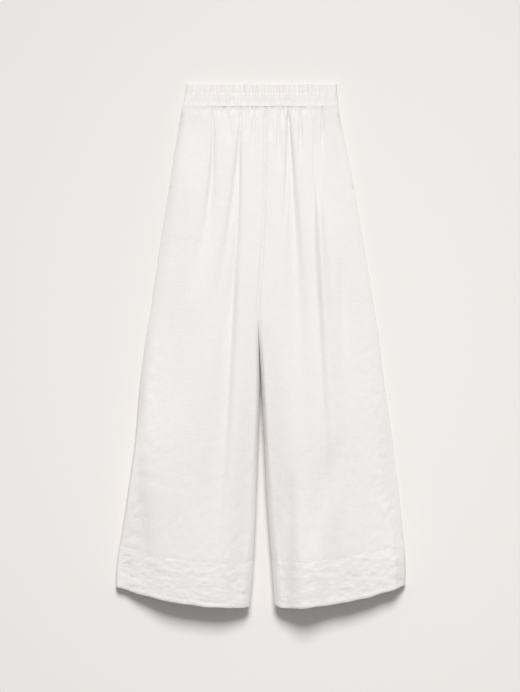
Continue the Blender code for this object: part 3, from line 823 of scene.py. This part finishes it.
FRILL_STITCH = (0.0019, 0.00018)    # length and radius
BARTACK_STITCH = (0.0030, 0.00025)
STITCH_EVERY = 5            # the frill's stitches, in steps along the band
STITCH_SPAN = 3
OUTER_ROWS = 30             # the first rows of the band's mesh, on its outer face


def stitch(place, along, length, radius):
    """One stitch that lies along a direction. Its ends dip into the cloth."""
    bpy.ops.mesh.primitive_cylinder_add(vertices=6, radius=radius, depth=length, location=place)
    bpy.context.object.rotation_euler = along.to_track_quat("Z", "Y").to_euler()
    return bpy.context.object


def join_stitches(name, made, finish):
    """Joins the stitches into one mesh of thread, at the origin."""
    bpy.ops.object.select_all(action="DESELECT")
    for one in made:
        one.select_set(True)
    bpy.context.view_layer.objects.active = made[0]
    bpy.ops.object.join()
    bpy.ops.object.transform_apply(location=True, rotation=True, scale=True)
    piece = bpy.context.object
    piece.name = piece.data.name = name
    piece.data.materials.clear()
    piece.data.materials.append(finish)
    bpy.ops.object.shade_smooth_by_angle(angle=SMOOTH_ANGLE)
    bpy.context.scene.cursor.location = (0.0, 0.0, 0.0)
    bpy.ops.object.origin_set(type="ORIGIN_CURSOR")
    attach(piece, "root")


def frill_stitches(finish):
    """The line of stitches between the frill and the elastic's channel."""
    chance = random.Random(5)
    grid = band_grid(1, FRONT_PLEATS)
    row = int(np.argmin(np.abs(grid[:OUTER_ROWS, BAND_STEPS // 2, 1] - (TOP - FRILL))))
    line = grid[row]
    made = []
    for start in range(6, line.shape[0] - 10, STITCH_EVERY):
        a, b = Vector(line[start]), Vector(line[start + STITCH_SPAN])
        middle = (a + b) / 2 + Vector((0.0, chance.uniform(-0.0001, 0.0001), -0.00003))
        made.append(stitch(middle, b - a, *FRILL_STITCH))
    join_stitches("frill_stitches", made, finish)


def pocket_bartacks(finish):
    """Short dense bars of stitches at both ends of each pocket's mouth."""
    for leg in ("left", "right"):
        inward = 1 if leg == "left" else -1
        made = []
        for end in (POCKET_TOP - 0.006, POCKET_END - 0.004):
            for i in range(9):
                down = np.array([end + 0.0009 * i])
                side, inner = seams_at(leg, down)
                across = (0.0030 + 0.0006 * (i % 2)) / abs(inner - side)
                x, _, z = front_surface(leg, across, down)
                place = Vector((float(x[0]), TOP - float(down[0]), float(z[0]) + 0.0001))
                tilt = Vector((inward, 0.35 * (-1) ** i, 0.8))
                made.append(stitch(place, tilt, *BARTACK_STITCH))
        join_stitches(f"pocket_bartacks_{leg}", made, finish)


# --- pocket bags ---

BAG_MESH = (40, 60)         # steps across and down
BAG_WIDTH = 0.125
BAG_CURVES_FROM = 0.215     # down, where the bag starts to round off
BAG_CLOTH = 0.0010          # both layers


def pocket_bag(leg):
    """Two layers of cloth, flat together, inside the side seam."""
    low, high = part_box(f"pocket_bag_{leg}")
    across, steps = (bunched(count, 0.3) for count in BAG_MESH)
    top, bottom = TOP - high.y, TOP - low.y
    down = np.broadcast_to((top + (bottom - top) * steps)[:, None], (len(steps), len(across)))
    side = seams_at(leg, down)[0]
    sign = 1 if leg == "left" else -1
    below = np.clip((down - BAG_CURVES_FROM) / (bottom - BAG_CURVES_FROM), 0, 1)
    outer = 0.0040 + 0.030 * below**1.5
    width = BAG_WIDTH * between(0.8, 1.0, (down - top) / 0.142) * np.sqrt(1 - 0.75 * below**3)
    reach = outer + (width - outer) * across
    ripple = waves(reach, down, 0.03, 41) * 0.0004
    z = 0.0036 + 0.0022 * smooth((reach - outer) / 0.030) + ripple
    x = side + sign * reach
    grid = np.stack([x, TOP - down, z], axis=-1)[::-1]
    piece = new_sheet(f"pocket_{leg}", grid if leg == "left" else grid[:, ::-1])
    thicken(piece, BAG_CLOTH)
    return piece


# --- materials ---

LINEN_LIGHT = (0.936, 0.902, 0.878)
LINEN_DARK = (0.823, 0.793, 0.771)
THREAD_PITCH = 0.00062
WEAVE_DEPTH = 0.00034
ELASTIC_WHITE = (0.87, 0.87, 0.86)
THREAD_WHITE = (0.84, 0.81, 0.78)

# The uneven threads, patches, nap and crumples of the linen: how many to a metre along the three
# axes of the cloth, and how much fine detail each has
CLOTH_NOISES = {
    "warp": ((430.0, 26.0, 1.0), 2.5),
    "weft": ((30.0, 470.0, 1.0), 2.5),
    "cloud": ((70.0, 70.0, 1.0), 3.0),
    "nap": ((300.0, 330.0, 1.0), 3.0),
    "crumple": ((120.0, 150.0, 1.0), 2.0),
}
# What each of them adds to the shade and to the height of the weave
WEAVE_SHADES = {"slubs": 0.24, "cloud": 0.16, "nap": 0.30}
WEAVE_HEIGHTS = {"slubs": 0.75, "weave": 0.3, "nap": 0.5, "crumple": 0.35}


def add_node(tree, kind, settings=(), **inputs):
    """A new node. An input is named by its socket, or by i and its number, as in i0."""
    made = tree.nodes.new(kind)
    for name, value in dict(settings).items():
        setattr(made, name, value)
    for name, value in inputs.items():
        socket = made.inputs[int(name[1:])] if name[0] == "i" and name[1:].isdigit() else None
        socket = socket or made.inputs[name.replace("_", " ")]
        if isinstance(value, bpy.types.NodeSocket):
            tree.links.new(value, socket)
        else:
            socket.default_value = value
    return made


def new_material(name, roughness, colour=None, specular=None):
    """(the material, its node tree, its shader), with an even colour where one is given."""
    made = bpy.data.materials.new(name)
    made.use_nodes = True
    shader = made.node_tree.nodes["Principled BSDF"]
    shader.inputs["Roughness"].default_value = roughness
    if colour:
        shader.inputs["Base Color"].default_value = (*colour, 1.0)
    if specular is not None:
        shader.inputs["Specular IOR Level"].default_value = specular
    return made, made.node_tree, shader


def colour_mix(tree, share, first, last, blend="MIX"):
    """The output of a node that goes from the first colour to the last. Either may be a socket."""
    settings = {"data_type": "RGBA", "blend_type": blend}
    return add_node(tree, "ShaderNodeMix", settings, i0=share, i6=first, i7=last).outputs[2]


def raise_surface(tree, shader, strength, depth, height):
    """Bumps the surface by this height."""
    bump = add_node(tree, "ShaderNodeBump", Strength=strength, Distance=depth, Height=height)
    tree.links.new(bump.outputs[0], shader.inputs["Normal"])


def weave_group():
    """Plain weave with uneven, slubby threads. Cloth is a place on the cloth in metres."""
    group = bpy.data.node_groups.new("linen_weave", "ShaderNodeTree")
    face = group.interface
    face.new_socket("Cloth", in_out="INPUT", socket_type="NodeSocketVector")
    face.new_socket("Thread", in_out="INPUT", socket_type="NodeSocketFloat")
    face.new_socket("Shade", in_out="OUTPUT", socket_type="NodeSocketFloat")
    face.new_socket("Height", in_out="OUTPUT", socket_type="NodeSocketFloat")
    start = group.nodes.new("NodeGroupInput")
    end = group.nodes.new("NodeGroupOutput")

    def math_node(operation, a, b=0.0):
        """The result of an operation on one or two values."""
        return add_node(group, "ShaderNodeMath", {"operation": operation}, i0=a, i1=b).outputs[0]

    def noise_node(scale, detail):
        """An irregular value from 0 to 1, scale to a metre."""
        stretched = add_node(
            group, "ShaderNodeVectorMath", {"operation": "MULTIPLY"}, i0=start.outputs[0], i1=scale
        )
        return add_node(
            group, "ShaderNodeTexNoise", Vector=stretched.outputs[0], Scale=1.0, Detail=detail
        ).outputs["Fac"]

    parts = add_node(group, "ShaderNodeSeparateXYZ", Vector=start.outputs[0])
    turn = math_node("DIVIDE", math.pi, start.outputs["Thread"])
    ribs = []
    for axis in (0, 1):
        wave = math_node("SINE", math_node("MULTIPLY", parts.outputs[axis], turn))
        ribs.append(math_node("ABSOLUTE", wave))
    found = {name: noise_node(*noise_form) for name, noise_form in CLOTH_NOISES.items()}
    found["weave"] = math_node("MULTIPLY", *ribs)
    found["slubs"] = math_node("ADD", found["warp"], found["weft"])
    for socket, weights in (("Shade", WEAVE_SHADES), ("Height", WEAVE_HEIGHTS)):
        total = 0.0
        for part, weight in weights.items():
            total = math_node("ADD", total, math_node("MULTIPLY", found[part], weight))
        group.links.new(total, end.inputs[socket])
    return group


def linen_material():
    """Matt off-white linen, mottled and raised by its weave."""
    made, tree, shader = new_material("linen", 0.85, specular=0.25)
    place = add_node(tree, "ShaderNodeUVMap", {"uv_map": "cloth"})
    weave = add_node(
        tree,
        "ShaderNodeGroup",
        {"node_tree": weave_group()},
        Cloth=place.outputs[0],
        Thread=THREAD_PITCH,
    )
    shade = colour_mix(tree, weave.outputs["Shade"], (*LINEN_DARK, 1.0), (*LINEN_LIGHT, 1.0))
    tree.links.new(shade, shader.inputs["Base Color"])
    raise_surface(tree, shader, 1.0, WEAVE_DEPTH, weave.outputs["Height"])
    return made


def elastic_material():
    """Woven elastic: fine cords side by side, along its length."""
    made, tree, shader = new_material("elastic_webbing", 0.7, ELASTIC_WHITE)
    place = add_node(tree, "ShaderNodeTexCoord")
    cords = add_node(
        tree,
        "ShaderNodeTexWave",
        {"wave_type": "BANDS", "bands_direction": "Y", "wave_profile": "SIN"},
        Vector=place.outputs["Object"],
        Scale=260.0,
        Distortion=0.4,
    )
    raise_surface(tree, shader, 0.8, 0.0002, cords.outputs[1])
    return made


def thread_material():
    """Cotton thread, ribbed by its twist."""
    made, tree, shader = new_material("thread", 0.6, THREAD_WHITE)
    place = add_node(tree, "ShaderNodeTexCoord")
    twist = add_node(tree, "ShaderNodeTexNoise", Vector=place.outputs["Object"], Scale=2500.0)
    raise_surface(tree, shader, 0.6, 0.0001, twist.outputs[0])
    return made


def floor_material():
    """Pale paper, its colour painted a shade lighter towards the hems to make up for the less light
    that falls there, and painted darker away from a place right of the middle as painted falloff of the
    light.
    """
    made, tree, shader = new_material("pale_floor", 1.0, specular=0.0)
    place = add_node(tree, "ShaderNodeTexCoord").outputs["Object"]
    parts = add_node(tree, "ShaderNodeSeparateXYZ", Vector=place)
    low, high = FLOOR_SPAN
    share = add_node(tree, "ShaderNodeMapRange", i0=parts.outputs["Y"], i1=low, i2=high, i3=0.0, i4=1.0)
    # painted light: the floor's colour is lighter towards the hems, where less light falls
    even = colour_mix(tree, share.outputs[0], (*FLOOR_PAINTED_LIGHTER_AT_HEMS, 1.0), (*FLOOR_AT_WAIST, 1.0))
    # painted shade: the floor's colour darkens away from a place right of the middle, as the light
    # falls off
    off = add_node(
        tree,
        "ShaderNodeVectorMath",
        {"operation": "MULTIPLY_ADD"},
        i0=place,
        i1=PAINTED_FALLOFF_STRETCH,
        i2=PAINTED_FALLOFF_SHIFT,
    ).outputs[0]
    away = add_node(tree, "ShaderNodeVectorMath", {"operation": "DOT_PRODUCT"}, i0=off, i1=off)
    painted_dim = (FLOOR_PAINTED_FALLOFF, FLOOR_PAINTED_FALLOFF, FLOOR_PAINTED_FALLOFF, 1.0)
    painted_falloff = colour_mix(tree, away.outputs["Value"], even, painted_dim, blend="MULTIPLY")
    tree.links.new(painted_falloff, shader.inputs["Base Color"])
    return made


# --- floor, light and camera ---

CAMERA_HEIGHT = 4.0
VIEW_LENGTH = 1.364         # length of floor in view
VIEW_CENTRE = (-0.0014, -0.0008)
# The floor's colour holds painted light: lighter at the hems than at the waist, where less light falls,
# and painted shade of the light's falloff away from the middle
FLOOR_PAINTED_LIGHTER_AT_HEMS = (0.907, 0.873, 0.846)
FLOOR_AT_WAIST = (0.822, 0.792, 0.768)
FLOOR_SPAN = (-0.65, 0.65)  # the Y at which those two colours are reached
FLOOR_PAINTED_FALLOFF = 0.927       # painted shade of the light's falloff: the share of its colour that the floor keeps a metre away
PAINTED_FALLOFF_STRETCH = (1.19, 1.0, 0.0)    # the painted falloff darkens it faster towards its sides, and from a place to the right of the middle on
PAINTED_FALLOFF_SHIFT = (-0.162, -0.09, 0.0)  # and from a place to the right of the middle on
FLOOR_SIZE = 8.0
ROOM_LIGHT = 0.31

# Azimuth 0 is on the waist's side, and 90 on the right
Lamp = namedtuple("Lamp", "name azimuth elevation distance size power")
LAMPS = (
    Lamp("key_lamp", 1.5, 44, 20.0, 7.3, 4100.0),
    Lamp("side_lamp", 82, 34, 10.0, 7.5, 18.0),
)


def add_camera():
    """Straight above the middle of the trousers, with a long lens."""
    data = bpy.data.cameras.new("camera")
    camera = bpy.data.objects.new("camera", data)
    bpy.context.scene.collection.objects.link(camera)
    data.lens = data.sensor_width * CAMERA_HEIGHT / VIEW_LENGTH
    camera.location = (*VIEW_CENTRE, CAMERA_HEIGHT)
    bpy.context.scene.camera = camera


def add_lamp(lamp):
    """A square lamp that faces the object, as its row says."""
    data = bpy.data.lights.new(lamp.name, type="AREA")
    data.size = lamp.size
    data.energy = lamp.power
    made = bpy.data.objects.new(lamp.name, data)
    bpy.context.scene.collection.objects.link(made)
    a, e = math.radians(lamp.azimuth), math.radians(lamp.elevation)
    away = Vector((math.sin(a) * math.cos(e), math.cos(a) * math.cos(e), math.sin(e)))
    made.location = away * lamp.distance
    made.rotation_euler = away.to_track_quat("Z", "Y").to_euler()


def add_surroundings():
    """The floor, the lamps and the soft light of the room."""
    bpy.ops.object.select_all(action="DESELECT")
    bpy.ops.mesh.primitive_plane_add(size=FLOOR_SIZE)
    floor = bpy.context.object
    floor.name = "floor"
    floor.data.materials.append(floor_material())
    for lamp in LAMPS:
        add_lamp(lamp)
    world = bpy.data.worlds.new("soft_room")
    bpy.context.scene.world = world
    world.use_nodes = True
    light = world.node_tree.nodes["Background"].inputs
    light["Strength"].default_value = ROOM_LIGHT
    light["Color"].default_value = (1.0, 1.0, 1.0, 1.0)
    bpy.context.scene.view_settings.view_transform = "Standard"


def main():
    """Makes the camera, the cloth, the stitches and the surroundings."""
    add_camera()
    linen = linen_material()
    for leg in ("left", "right"):
        back, back_band = back_leg(leg), back_hem(leg)
        bag = pocket_bag(leg)
        front, band = front_leg(leg), front_hem(leg)
        finish_cloth(back, f"back_leg_{leg}", linen)
        finish_cloth(back_band, f"hem_back_{leg}", linen)
        finish_cloth(bag, f"pocket_bag_{leg}", linen)
        finish_cloth(front, f"front_leg_{leg}", linen)
        finish_cloth(band, f"hem_front_{leg}", linen)
    front_band = waistband(1, FRONT_PLEATS)
    rear_band = waistband(-1, BACK_PLEATS)
    finish_cloth(rear_band, "waistband_back", linen)
    finish_cloth(front_band, "waistband_front", linen)
    strip = elastic()
    strip.data.materials.append(elastic_material())
    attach(strip, "root")
    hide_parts("waist_elastic")
    thread = thread_material()
    frill_stitches(thread)
    pocket_bartacks(thread)
    add_surroundings()


main()
